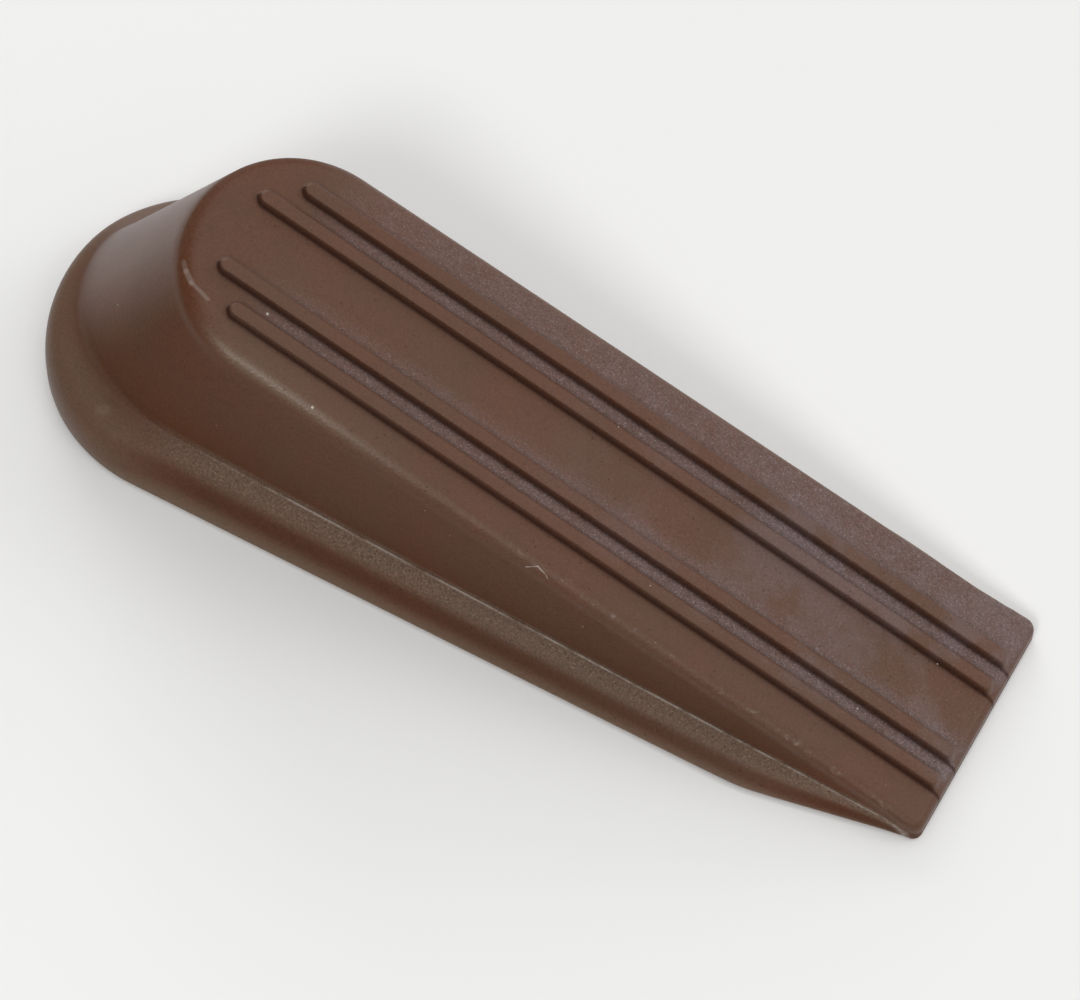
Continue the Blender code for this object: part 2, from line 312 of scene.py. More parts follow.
def roll_radius(x, y):
    """Radius of the plate's rolled edge: widest round the heel, least across the tip."""
    shoulder = PLATE_HEEL + PLATE_HEEL_DEPTH
    heel = ROUND_HEEL + (ROUND_SIDE_HEEL - ROUND_HEEL) * (y / PLATE_HALF_WIDTH_HEEL) ** 2
    along = np.clip((x - shoulder) / (LENGTH - shoulder), 0, 1)
    side = ROUND_SIDE_HEEL + (ROUND_SIDE_TIP - ROUND_SIDE_HEEL) * along
    corner = np.clip((x - LENGTH) / ROUND_TIP_BLEND + 1, 0, 1)
    return np.where(x < shoulder, heel, side + (ROUND_TIP - side) * corner)


def rib_rise(x, y):
    """Height of the ribs over the ramp: a crowned bar, domed at the heel, squarer at the tip."""
    rise = np.zeros_like(x)
    for centre, start in RIB_STARTS.items():
        across = y - RIB_SHIFT - centre
        shoulder = np.where(across < 0, RIB_NEAR_SHOULDER, RIB_FAR_SHOULDER)
        before = np.maximum(start + RIB_HALF_WIDTH - x, 0)
        after = np.maximum(x - (LENGTH - RIB_TIP_GAP - RIB_HALF_WIDTH), 0)
        away = np.hypot(across, before)
        away = np.where(after > 0, (across ** 4 + after ** 4) ** 0.25, away)
        fall = (away - shoulder) / (RIB_HALF_WIDTH - shoulder)
        crown = RIB_HEIGHT - RIB_CROWN * np.minimum(away / RIB_HALF_WIDTH, 1) ** 2
        rise = np.maximum(rise, crown * (1 - smooth(fall)))
    return rise


def row_positions():
    """Half of the rows that run along the ramp: close together over each rib's sides."""
    middle = np.linspace(0, RIB_INNER - RIB_ROWS[-1], MIDDLE_ROWS)[:-1]
    between = [(RIB_INNER + RIB_OUTER) / 2]
    ribs = [centre + side * RIB_ROWS for centre in (RIB_INNER, RIB_OUTER) for side in (-1, 1)]
    return np.unique(np.concatenate([middle, between] + ribs))


def heel_arc(angles, heel, depth, half_width):
    shoulder = heel + depth
    return np.stack((shoulder - depth * np.cos(angles), half_width(shoulder) * np.sin(angles)), 1)


def normals_of(points):
    """Outward plan normals of a closed outline whose points aren't evenly spaced."""
    before = points - np.roll(points, 1, 0)
    after = np.roll(points, -1, 0) - points
    near = np.linalg.norm(before, axis=1, keepdims=True)
    far = np.linalg.norm(after, axis=1, keepdims=True)
    run = before / near * far + after / far * near
    run /= np.linalg.norm(run, axis=1, keepdims=True)
    return np.stack((-run[:, 1], run[:, 0]), 1)


def inset(points, distances):
    return points - normals_of(points) * np.asarray(distances)[:, None]


def heel_angles(rows):
    """Angles round the heel at which the plate's flat part starts on each row."""
    fine = np.linspace(0, math.pi / 2, ARC_SAMPLES)
    arc = heel_arc(fine, PLATE_HEEL, PLATE_HEEL_DEPTH, plate_half_width)
    tangent = np.gradient(arc, axis=0)
    tangent /= np.linalg.norm(tangent, axis=1, keepdims=True)
    outwards = np.stack((-tangent[:, 1], tangent[:, 0]), 1)
    flat = arc - outwards * roll_radius(arc[:, 0], arc[:, 1])[:, None]
    inner = np.interp(rows, flat[:, 1], fine)
    outer = np.linspace(inner[-1], math.pi / 2, OUTER_ROWS + 1)[1:]
    return np.concatenate((inner, outer))


def stations():
    """Places along the ramp, close together at the ribs' domes and at the tip."""
    flat_heel = PLATE_HEEL + ROUND_HEEL
    domes = min(RIB_STARTS.values()) - DOMES_BEFORE
    domes_end = max(RIB_STARTS.values()) + DOMES_AFTER
    tip = LENGTH - PLATE_CORNER_RADIUS - TIP_STATIONS_START
    return np.concatenate((
        np.arange(flat_heel, domes, FIRST_STEP),
        np.arange(domes, domes_end, DOME_STEP),
        np.arange(domes_end, tip - TIP_STATIONS_GAP, LONG_STEP),
        np.linspace(tip, LENGTH - ROUND_TIP, TIP_STATIONS)))


def side_fractions():
    """How far along the straight side each station lies."""
    shoulder = PLATE_HEEL + PLATE_HEEL_DEPTH
    side_end = LENGTH - PLATE_CORNER_RADIUS
    places = row_places(shoulder, side_end)
    return (places[1:-1] - shoulder) / (side_end - shoulder)


def row_places(first, last):
    """The stations squeezed to start at first and end at last, and untouched in between."""
    line = stations()
    heel_end = first + SQUEEZE_HEEL + SQUEEZE_HEEL_SHARE * (first - line[0])
    tip_start = last - SQUEEZE_TIP
    places = line.copy()
    squeezed = line < heel_end
    share = (line - line[0]) / (heel_end - line[0])
    places[squeezed] = (first + share * (heel_end - first))[squeezed]
    squeezed = line > tip_start
    share = (line - tip_start) / (line[-1] - tip_start)
    places[squeezed] = (tip_start + share * (last - tip_start))[squeezed]
    places[0] = first
    places[-1] = last
    return places


def outline(heel, depth, half_width, corner):
    """A closed plan outline: heel arc, sides, rounded tip corners, all with matching points."""
    angles = heel_angles(ROWS)
    arc = heel_arc(angles, heel, depth, half_width)
    shoulder = heel + depth
    side_end = LENGTH - corner
    side_x = shoulder + (side_end - shoulder) * side_fractions()
    side = np.stack((side_x, half_width(side_x)), 1)
    centre_y = half_width(side_end) - corner
    turn = np.linspace(0, math.pi / 2, CORNER_STEPS + 1)
    bend = np.stack((side_end + corner * np.sin(turn), centre_y + corner * np.cos(turn)), 1)
    fill_y = np.linspace(centre_y, ROWS[-1], OUTER_ROWS - CORNER_STEPS + 1)[1:-1]
    tip_y = np.concatenate((fill_y, ROWS[::-1]))
    tip = np.stack((np.full_like(tip_y, LENGTH), tip_y), 1)
    half = np.concatenate((arc, side, bend, tip))
    return np.concatenate((half, half[-2:0:-1] * (1, -1)))


def lifted(plan, height):
    return np.column_stack((plan, np.broadcast_to(height, len(plan))))


def flange_levels(base, foot):
    """From the floor up the flange's side, over its shoulder and in to the crease."""
    height = foot[:, 2]
    run = base - foot[:, :2]
    width = np.sum(run * normals_of(base), axis=1)
    foot_rounds = np.minimum(FOOT_ROUND, FOOT_ROUND_OF_HEIGHT * height)
    levels = []
    for angle in np.linspace(math.pi / 2, 0, FOOT_STEPS + 1)[:-1]:
        plan = inset(base, foot_rounds * (1 - math.cos(angle)))
        levels.append(lifted(plan, foot_rounds * (1 - math.sin(angle))))
    heel = smooth((FLANGE_HEEL_END - base[:, 0]) / FLANGE_HEEL_FADE)
    slope, top_out, side_out, side_up = (
        side + (round_heel - side) * heel for side, round_heel in
        (FLANGE_TOP_SLOPES, FLANGE_TOP_GUIDES, FLANGE_SIDE_GUIDES, FLANGE_SIDE_HEIGHTS))
    top_up = np.maximum(height - top_out * width * np.tan(slope), FLANGE_LEAST_SHOULDER * height)
    for share in np.linspace(1, 0, FLANGE_STEPS + 1)[:-1]:
        rest = 1 - share
        outwards = 3 * share * rest ** 2 * top_out + 3 * share ** 2 * rest * side_out + share ** 3
        rise = rest ** 3 * height + 3 * share * rest ** 2 * top_up
        rise += 3 * share ** 2 * rest * side_up * height + share ** 3 * foot_rounds
        levels.append(lifted(foot[:, :2] + run * np.minimum(outwards, 1)[:, None], rise))
    return levels


def flash_levels(edge, foot):
    """A thin ridge on the flange just outside the crease, with a loop at its own outer foot."""
    run = edge - foot
    width = np.linalg.norm(run[:, :2], axis=1)
    share = FLASH_WIDTH / np.maximum(width, FLASH_LEAST_ROOM * FLASH_WIDTH)
    outer = foot + run * share[:, None]
    ridge = foot + run * (share * FLASH_RIDGE)[:, None]
    ridge[:, 2] += flash_height(foot)
    return [outer, ridge]


def flash_height(foot):
    """The ridge is whole along the sides, broken in places, and gone round the heel."""
    x, y = foot[:, 0], foot[:, 1]
    along = fade(x, *FLASH_HEEL) * fade(LENGTH - x, *FLASH_TIP)
    places = zip(x * FLASH_BREAKS_PER_METRE, y * FLASH_BREAKS_PER_METRE)
    broken = np.array([noise.noise(Vector((*place, FLASH_SEED))) for place in places])
    return FLASH_HEIGHT * along * (FLASH_EVEN + FLASH_BROKEN * broken)


def wall_levels(foot, plate):
    """Up the straight wall and over the plate's rolled edge, to the flat of the ramp."""
    radii = roll_radius(plate[:, 0], plate[:, 1])
    run = np.linalg.norm(plate - foot[:, :2], axis=1)
    rise = ramp_height(plate[:, 0]) - radii - foot[:, 2]
    leans = np.arctan2(run, rise)
    rolls = []
    for share in np.linspace(0, 1, ROLL_STEPS + 1):
        angles = leans + (math.pi / 2 - leans) * share
        plan = inset(plate, radii * (1 - np.cos(angles)))
        rolls.append(lifted(plan, ramp_height(plan[:, 0]) - radii * (1 - np.sin(angles))))
    shares = np.linspace(0, 1, WALL_STEPS + 1)[:-1]
    return [foot + (rolls[0] - foot) * share for share in shares], rolls


def with_heel_fillet(levels, crease):
    """The crease between flange and wall melts away round the heel."""
    stack = np.array(levels)
    near_heel = smooth((FILLET_END - stack[crease, :, 0]) / FILLET_FADE)
    place = np.arange(len(levels)) - crease
    near_crease = np.exp(-(place / FILLET_SPREAD) ** 2)[1:-1]
    weight = near_crease[:, None, None] * near_heel[None, :, None]
    for _ in range(FILLET_PASSES):
        stack[1:-1] += weight * ((stack[:-2] + stack[2:]) / 2 - stack[1:-1])
    return list(stack)


def body_levels():
    """Every loop of the skin, from the floor to the edge of the ramp's flat."""
    base = outline(0.0, BASE_HEEL_DEPTH, base_half_width, BASE_CORNER_RADIUS)
    base = with_softer_far_bend(base)
    near_foot = outline(*WALL_FOOT_NEAR, wall_half_width, PLATE_CORNER_RADIUS)
    far_foot = outline(*WALL_FOOT_FAR, wall_half_width, PLATE_CORNER_RADIUS)
    far_share = smooth((near_foot[:, 1:] - WALL_FOOT_CHANGE_START) / WALL_FOOT_CHANGE_WIDTH)
    wall_foot = near_foot + (far_foot - near_foot) * far_share
    plate = outline(PLATE_HEEL, PLATE_HEEL_DEPTH, plate_half_width, PLATE_CORNER_RADIUS)
    foot = lifted(wall_foot, flange_height(wall_foot[:, 0]))
    flange = flange_levels(base, foot)
    flange += flash_levels(flange[-1], foot)
    walls, rolls = wall_levels(foot, plate)
    for number, roll in enumerate(rolls):
        level_share = (number / ROLL_STEPS) ** 2
        roll[:, 2] += rib_rise(roll[:, 0], roll[:, 1])
        roll[:, 2] += level_share * unevenness(roll[:, 0], roll[:, 1])
    return with_heel_fillet(flange + walls, len(flange)) + rolls


def ramp_rows(rim):
    """The ramp's flat as a grid: one row from each heel point of the rim to its tip point."""
    half_rows = len(ROWS) + OUTER_ROWS
    tip_first = half_rows + len(stations()) - 2
    heel = rim[:half_rows]
    side = rim[half_rows - 1:tip_first + 1]
    tip = rim[tip_first:tip_first + half_rows][::-1]
    edge_y = ROWS[-1]
    grid = []
    for row in range(half_rows):
        x = row_places(heel[row, 0], tip[row, 0])
        y = np.full_like(x, heel[row, 1])
        if row >= len(ROWS):
            limit = np.interp(x, side[:, 0], side[:, 1])
            first = (heel[row, 1] - edge_y) / (limit[0] - edge_y)
            last = (tip[row, 1] - edge_y) / (limit[-1] - edge_y)
            last = min(last, 1 - RIM_CLEARANCE * (half_rows - 1 - row))
            even = (row - len(ROWS) + 1) / OUTER_ROWS
            share = first + (even - first) * (x - x[0]) / (x[-1] - x[0])
            share += (last - share) * smooth((x - x[-1]) / RIM_BLEND + 1)
            y = edge_y + share * (limit - edge_y)
        grid.append(np.stack((x, y), 1))
    return grid


def unevenness(x, y):
    """The rubber's slight shrinkage waves, as height over the ramp's plane."""
    places = zip(x * UNEVEN_WAVES[0], y * UNEVEN_WAVES[1])
    waves = np.array([noise.noise(Vector((*place, UNEVEN_SEED))) for place in places])
    return UNEVEN * waves * fade(x, *UNEVEN_START)


def rounded_rectangle(low, high, corner):
    """Plan points of a rectangle with round corners, all the way round."""
    points = []
    turn = np.linspace(0, math.pi / 2, POCKET_CORNER_STEPS + 1)
    for quarter, (x, y) in enumerate(((high[0], high[1]), (low[0], high[1]),
                                      (low[0], low[1]), (high[0], low[1]))):
        centre_x = x - corner if x == high[0] else x + corner
        centre_y = y - corner if y == high[1] else y + corner
        for angle in turn + quarter * math.pi / 2:
            points.append((centre_x + corner * math.cos(angle), centre_y + corner * math.sin(angle)))
    return points


def pocket_levels(column, row):
    """Loops of one pocket from its rim in the underside up to its ceiling."""
    low_x = POCKET_START + POCKET_PITCH_X * column
    centre_y = row * POCKET_PITCH_Y
    ceiling = ramp_height(low_x + POCKET_LENGTH) - ROOF
    round_off = min(POCKET_CEILING_ROUND, ceiling * POCKET_ROUND_OF_DEPTH)
    profile = []
    for angle in np.linspace(0, math.pi / 2, POCKET_ROUND_STEPS + 1):
        profile.append((POCKET_RIM_ROUND * (1 - math.sin(angle)),
                        POCKET_RIM_ROUND * (1 - math.cos(angle))))
    for angle in np.linspace(0, math.pi / 2, POCKET_ROUND_STEPS + 1):
        profile.append((-round_off * (1 - math.cos(angle)),
                        ceiling - round_off * (1 - math.sin(angle))))
    levels = []
    for wider, height in profile:
        shift = wider - height * math.tan(POCKET_DRAFT)
        half = POCKET_WIDTH / 2 + shift
        plan = rounded_rectangle((low_x - shift, centre_y - half),
                                 (low_x + POCKET_LENGTH + shift, centre_y + half),
                                 max(POCKET_CORNER + shift, POCKET_LEAST_CORNER))
        levels.append([(x, y, height) for x, y in plan])
    return levels


def placed(points):
    """From heel-based distances to the part's frame."""
    return np.asarray(points) + (HEEL_CORNER.x, 0, 0)


def bridge(faces, lower, upper):
    """Quads between two closed rings of vertex numbers, facing outwards for a rising stack."""
    for here, after, here_up, after_up in zip(lower, np.roll(lower, -1), upper, np.roll(upper, -1)):
        faces.append((int(after), int(here), int(here_up), int(after_up)))


def skin():
    """Points and faces of the outside and the ramp. The first ring is the underside's edge."""
    levels = body_levels()
    points = list(levels)
    count = len(levels[0])
    faces = []
    rings = [np.arange(count) + count * number for number, _ in enumerate(levels)]
    for lower, upper in zip(rings, rings[1:]):
        bridge(faces, lower, upper)
    grid = ramp_rows(levels[-1])
    half_rows = len(grid)
    columns = len(grid[0])
    used = count * len(levels)
    numbers = {}
    for row in range(half_rows):
        for side in (1, -1) if row else (1,):
            ring = np.arange(columns) + half_rows - 1
            ring[0] = row
            ring[-1] = 2 * half_rows + columns - 3 - row
            ring = ring if side > 0 else (count - ring) % count
            ring += count * (len(levels) - 1)
            if row < half_rows - 1:
                x, y = grid[row][1:-1].T
                height = ramp_height(x) + rib_rise(x, side * y) + unevenness(x, side * y)
                points.append(np.stack((x, side * y, height), 1))
                ring[1:-1] = np.arange(columns - 2) + used
                used += columns - 2
            numbers[side * row] = ring
    for row in range(1 - half_rows, half_rows - 1):
        for column in range(columns - 1):
            faces.append((int(numbers[row][column]), int(numbers[row][column + 1]),
                          int(numbers[row + 1][column + 1]), int(numbers[row + 1][column])))
    return np.concatenate(points), faces, count


def add_pockets(mesh, edge):
    """Moulded pockets, and the flat underside that lies between them and the outer edge."""
    rims = list(edge)
    for column in range(POCKET_COLUMNS):
        for row in (-1, 0, 1):
            levels = pocket_levels(column, row)
            rings = [[mesh.verts.new(point) for point in placed(level)] for level in levels]
            for lower, upper in zip(rings, rings[1:]):
                for index, _ in enumerate(lower):
                    after = (index + 1) % len(lower)
                    mesh.faces.new((lower[index], lower[after], upper[after], upper[index]))
            mesh.faces.new(rings[-1][::-1])
            for index, vertex in enumerate(rings[0]):
                rims.append(mesh.edges.get((vertex, rings[0][(index + 1) % len(rings[0])])))
    bmesh.ops.triangle_fill(mesh, use_beauty=True, use_dissolve=False, edges=rims)


def build_body():
    points, faces, count = skin()
    data = bpy.data.meshes.new("wedge_rubber")
    data.from_pydata(placed(points).tolist(), [], faces)
    mesh = bmesh.new()
    mesh.from_mesh(data)
    mesh.verts.ensure_lookup_table()
    edge = [mesh.edges.get((mesh.verts[index], mesh.verts[(index + 1) % count]))
            for index in range(count)]
    add_pockets(mesh, edge)
    bmesh.ops.recalc_face_normals(mesh, faces=mesh.faces)
    mesh.to_mesh(data)
    mesh.free()
    data.shade_smooth()
    data.set_sharp_from_angle(angle=SMOOTH_ANGLE)
    for face in data.polygons:
        face.use_smooth = face.normal.z > FACING_DOWN
    body = bpy.data.objects.new("wedge_rubber", data)
    bpy.context.scene.collection.objects.link(body)
    return body


def add_attribute(data, name, values):
    attribute = data.attributes.new(name, "FLOAT", "POINT")
    attribute.data.foreach_set("value", np.asarray(values, np.float32))


def mark_surface(body):
    """Where the rubber is grainy, dull or polished, and where light and shade are painted, as numbers
    on the mesh's points.
    """
    data = body.data
    co = np.empty(len(data.vertices) * 3, np.float32)
    data.vertices.foreach_get("co", co)
    x, y, z = co.reshape(-1, 3).astype(float).T
    x = x - HEEL_CORNER.x
    for marks in (ramp_marks(x, y, z), edge_marks(x, y, z), flange_marks(x, y, z), wall_marks(x, y, z)):
        for name, values in marks.items():
            add_attribute(data, name, values)


def ramp_marks(x, y, z):
    """Bloom with painted sheen beside the ribs, blotches with painted sheen near the tip, and painted
    shade at the near foot of each rib.
    """
    over_ramp = z - ramp_height(x)
    on_ramp = fade(over_ramp, *RAMP_SURFACE)
    across = y - RIB_SHIFT
    from_middle = np.abs(np.abs(across) - (RIB_INNER + RIB_OUTER) / 2)
    past_inner = across + RIB_INNER
    beside_near = fade(past_inner, *BLOOM_PAST_RIB) * fade(past_inner, *BLOOM_STRIP_END)
    beside_far = fade(across - RIB_OUTER, *BLOOM_PAST_RIB)
    beside = BLOOM_BESIDE * np.maximum(beside_near, beside_far)
    bloom = np.maximum(fade(from_middle, *BLOOM_BETWEEN), beside)
    bloom *= fade(x - RIB_STARTS[-RIB_INNER], *BLOOM_PAST_DOMES)
    bloom *= (1 - fade(over_ramp, *RIB_SURFACE)) * on_ramp
    bloom *= BLOOM_AT_HEEL + (1 - BLOOM_AT_HEEL) * smooth(x / LENGTH)
    # Grey blotches near the tip, partly painted sheen.
    tip = on_ramp * fade(x, *BLOTCHES_ALONG) * fade(across + RIB_OUTER, *BLOTCHES_ACROSS)
    return {"bloom": bloom, "tip": tip, "rib_side": rib_side(x, across)}


def rib_side(x, across):
    """1 on the steep near side of each rib and in the corner at its foot, where shade is painted dark.
    """
    side = np.zeros_like(x)
    for centre, start in RIB_STARTS.items():
        before = np.maximum(start + RIB_HALF_WIDTH - x, 0)
        foot = around(np.hypot(across - centre, before), RIB_FOOT, RIB_FOOT_SPREAD)
        side = np.maximum(side, foot * (across < centre))
    return side


def edge_marks(x, y, z):
    """The polished stretch of the near edge, which carries a painted highlight, and the worn crest of
    both edges, which also carries a painted highlight line.
    """
    over_ramp = z - ramp_height(x)
    near_roll = around(over_ramp, POLISH_HEIGHT, POLISH_SPREAD) * (y < POLISH_SIDE)
    crest = around(over_ramp, CREST_HEIGHT, CREST_SPREAD) * (np.abs(y) > CREST_SIDE)
    return {"polish": near_roll * fade(x, *POLISH_HEEL) * fade(x, *POLISH_TIP),
            "crest": crest * fade(x, *CREST_ALONG)}


def flange_marks(x, y, z):
    """The flash with its painted highlight, and the flange's top lightened with a painted reflection,
    its middle darkened with painted shade and its foot lightened with a painted reflection.
    """
    crease = flange_height(x)
    rise = z / crease
    outside = np.abs(y) - wall_half_width(x)
    share = outside / (base_half_width(x) - wall_half_width(x))
    # Pale flash line, partly painted highlight.
    flash = around(outside, FLASH_MARK, FLASH_MARK_SPREAD) * (z < crease + FLASH_MARK_ABOVE)
    below = z < crease + FLANGE_ABOVE_CREASE
    beside = below * (x > BASE_HEEL_DEPTH / 2) * fade(x, *FLANGE_ALONG)
    top = fade(share, *FLANGE_TOP_SHARE) * (share > FLANGE_INNERMOST_SHARE)
    middle = fade(share, *FLANGE_MIDDLE_SHARE) * fade(rise, *FLANGE_MIDDLE_RISE)
    # Painted reflection over the flange round the heel.
    heel_reflection = HEEL_REFLECTION_STRENGTH * fade(x, *HEEL_REFLECTION_ALONG) * fade(rise, *HEEL_REFLECTION_RISE)
    low = np.maximum(fade(rise, *FLANGE_LOW_RISE), heel_reflection)
    return {"flash": flash * fade(x, *FLASH_MARK_ALONG),
            "flange_top": beside * top,
            "flange_middle": beside * middle,
            "flange_low": below * ((outside > 0) | (x < FLANGE_ARC_END)) * low}


def wall_marks(x, y, z):
    """The dull near wall, the shinier far wall behind the heel, and the dull roll round the heel."""
    over_ramp = z - ramp_height(x)
    crease = flange_height(x)
    wall = fade(-over_ramp, *WALL_UNDER_RAMP) * fade(z - crease, *WALL_OVER_CREASE)
    far = fade(y, *WALL_FAR)
    plain = WALL_PLAIN + (1 - WALL_PLAIN) * fade(x, *WALL_NEAR_HEEL)
    roll = fade(x - PLATE_HEEL - PLATE_HEEL_DEPTH, *HEEL_ROLL_ALONG)
    roll *= fade(over_ramp, *HEEL_ROLL_LOW) * fade(over_ramp, *HEEL_ROLL_HIGH)
    flange = fade(x, *HEEL_FLANGE_ALONG) * fade(crease - z, *HEEL_FLANGE_UNDER)
    return {"wall": wall * (1 - far) * plain,
            "far_wall": wall * far,
            "heel_roll": np.maximum(roll, HEEL_FLANGE_STRENGTH * flange)}


class Nodes:
    """A material's node tree, with short ways to add and join nodes."""

    def __init__(self, name):
        self.material = bpy.data.materials.new(name)
        self.material.use_nodes = True
        self.tree = self.material.node_tree
        self.shader = self.tree.nodes["Principled BSDF"]

    def add(self, kind, settings=None, **inputs):
        node = self.tree.nodes.new(kind)
        for key, value in (settings or {}).items():
            setattr(node, key, value)
        for key, value in inputs.items():
            self.put(node.inputs[key.replace("_", " ")], value)
        return node

    def put(self, socket, value):
        if isinstance(value, bpy.types.NodeSocket):
            self.tree.links.new(value, socket)
        else:
            socket.default_value = value

    def math(self, operation, first, second):
        node = self.add("ShaderNodeMath", {"operation": operation})
        self.put(node.inputs[0], first)
        self.put(node.inputs[1], second)
        return node.outputs[0]

    def vector(self, operation, first, second=None, result="Vector"):
        node = self.add("ShaderNodeVectorMath", {"operation": operation})
        self.put(node.inputs[0], first)
        if operation == "SCALE":
            self.put(node.inputs["Scale"], second)
        elif second is not None:
            self.put(node.inputs[1], second)
        return node.outputs[result]

    def scaled(self, colour, amount):
        """A colour made lighter or darker by an amount."""
        return self.vector("SCALE", colour, amount)

    def mix(self, factor, first, second):
        node = self.add("ShaderNodeMix", {"data_type": "RGBA"})
        self.put(node.inputs[0], factor)
        self.put(node.inputs[6], first)
        self.put(node.inputs[7], second)
        return node.outputs[2]

    def noise(self, place, size, detail=2.0, roughness=0.5):
        """Noise whose lumps are about size metres across, from 0 to 1."""
        node = self.add("ShaderNodeTexNoise", Vector=place, Scale=1 / size, Detail=detail,
                        Roughness=roughness)
        return node.outputs["Fac"]

    def ramp(self, value, low, high):
        """0 below low, 1 above high, smooth between."""
        node = self.add("ShaderNodeMapRange", {"interpolation_type": "SMOOTHSTEP"})
        self.put(node.inputs["Value"], value)
        self.put(node.inputs["From Min"], low)
        self.put(node.inputs["From Max"], high)
        return node.outputs["Result"]

    def attribute(self, name):
        return self.add("ShaderNodeAttribute", {"attribute_name": name}).outputs["Fac"]

    def times(self, first, second):
        return self.math("MULTIPLY", first, second)

    def plus(self, first, second):
        return self.math("ADD", first, second)

    def minus(self, first, second):
        return self.math("SUBTRACT", first, second)

    def greater(self, first, second):
        return self.math("MAXIMUM", first, second)

    def tint(self, colour, towards, mask, strength):
        """A colour moved towards another where the mask says."""
        return self.mix(self.times(mask, strength), colour, towards)


BROWN = (0.100, 0.043, 0.024, 1)
DARK_BROWN = (0.072, 0.029, 0.015, 1)
RED_BROWN = (0.108, 0.041, 0.021, 1)
# Grey of the bloom and the tip's blotches, partly painted sheen.
GREY_BLOOM_AND_SHEEN = (0.175, 0.135, 0.140, 1)
# Olive: the flange's painted reflections, the polished edge's painted highlight and a slight tint on
# the wall.
OLIVE = (0.170, 0.118, 0.078, 1)
# Pale dust, also used for painted glints and highlights.
DUST_AND_HIGHLIGHT = (0.62, 0.56, 0.50, 1)
# Dark of the pits, also used for the painted shade at the ribs' near feet.
PIT_AND_SHADE = (0.030, 0.015, 0.012, 1)
REFLECTION_TINT = (1.0, 0.95, 0.88, 1)
SHEEN_TINT = (0.86, 0.84, 0.90, 1)

# Patterns: the size of the lumps, their detail and roughness, and the range that is used.
PATCH_SIZE = 14 * MM
PATCH_DETAIL = (3.0, 0.55)
PATCH_RANGE = (0.35, 0.65)
MOTTLE_SIZE = 2.6 * MM
MOTTLE_DETAIL = (4.0, 0.6)
MOTTLE_RANGE = (0.52, 0.78)
GRAIN_SIZE = 0.34 * MM
FINE_SIZE = 0.20 * MM
GRAIN_DETAIL = (1.0, 0.5)
SPARKLE_RANGE = (0.56, 0.78)
BLOTCH_SIZE = 9 * MM
BLOTCH_DETAIL = (3.0, 0.6)
BLOTCH_RANGE = (0.40, 0.60)
WORN_SIZE = 1.5 * MM
WORN_DETAIL = (4.0, 0.7)
WORN_RANGE = (0.54, 0.68)
FLASH_RANGE = (0.30, 0.62)

# Dots: spacing, share of the places that have one, and radius as a share of the spacing.
PITS = (0.55 * MM, 0.10, 0.28)
DUST_SPECKS = ((1.7 * MM, 0.05, 0.07), (4.6 * MM, 0.12, 0.045))
SPECK_CORE = 0.5                        # a dot is whole within this share of its radius,
SCRATCH_CORE = 0.3                      # and a scratch within this share of its width

# How strongly each mark colours the rubber.
MOTTLE_TINT = 0.30
HEEL_ROLL_TINT = 0.20
# Strength of the bloom's grey, partly painted sheen.
POWDER_AND_SHEEN_MOTTLE = 0.80
# Grey of the tip's blotches, partly painted sheen.
BLOTCH_TINT = 0.30
BLOTCH_SPARKLE = 0.22
# Painted reflection on the flange's top, grainy.
OLIVE_TINT = 0.40
OLIVE_SPARKLE = 0.80
# Painted shade on the flange's middle band.
FLANGE_MIDDLE_SHADE_TINT = 0.45
# Painted reflection along the flange's foot and round the heel.
FLANGE_LOW_REFLECTION_TINT = 0.70
WALL_TINT = 0.08
# Painted shade at the near foot of each rib.
RIB_FOOT_SHADE_TINT = 0.75
GRAIN_SWING = 0.42
GRAIN_SWING_ROUGH = 0.50
PIT_TINT = 0.35
# Wear and a painted highlight line along the crests.
WORN_AND_HIGHLIGHT_TINT = 0.15
# Painted highlight on the polished near edge.
POLISH_HIGHLIGHT_TINT = 0.50
# Painted glints on the polished near edge.
GLINT_TINT = 0.12
# Pale flash line, partly painted highlight.
FLASH_AND_HIGHLIGHT_TINT = 0.40
DUST_TINT = 0.70

# Gloss and grain.
ROUGHNESS = 0.43
ROUGHER_GRAIN = 0.08
ROUGHER_PATCHES = 0.10
SMOOTHER_POLISH = 0.10
GLOSS = 0.42
WALL_DULL = 0.97
RIB_FOOT_DULL = 0.90
HEEL_ROLL_DULL = 0.87
FLANGE_MIDDLE_DULL = 0.70
POLISH_GLOSS = 0.08
FAR_WALL_GLOSS = 0.28
POLISH_NO_SHEEN = 0.80
SHEEN = 0.12
SHEEN_ROUGHNESS = 0.35
RELIEF_DEPTH = 0.09 * MM
GRAIN_RELIEF = 0.35
GRAIN_RELIEF_ROUGH = 0.90
FINE_RELIEF = 0.20
MOTTLE_RELIEF = 0.30
PIT_RELIEF = 0.40

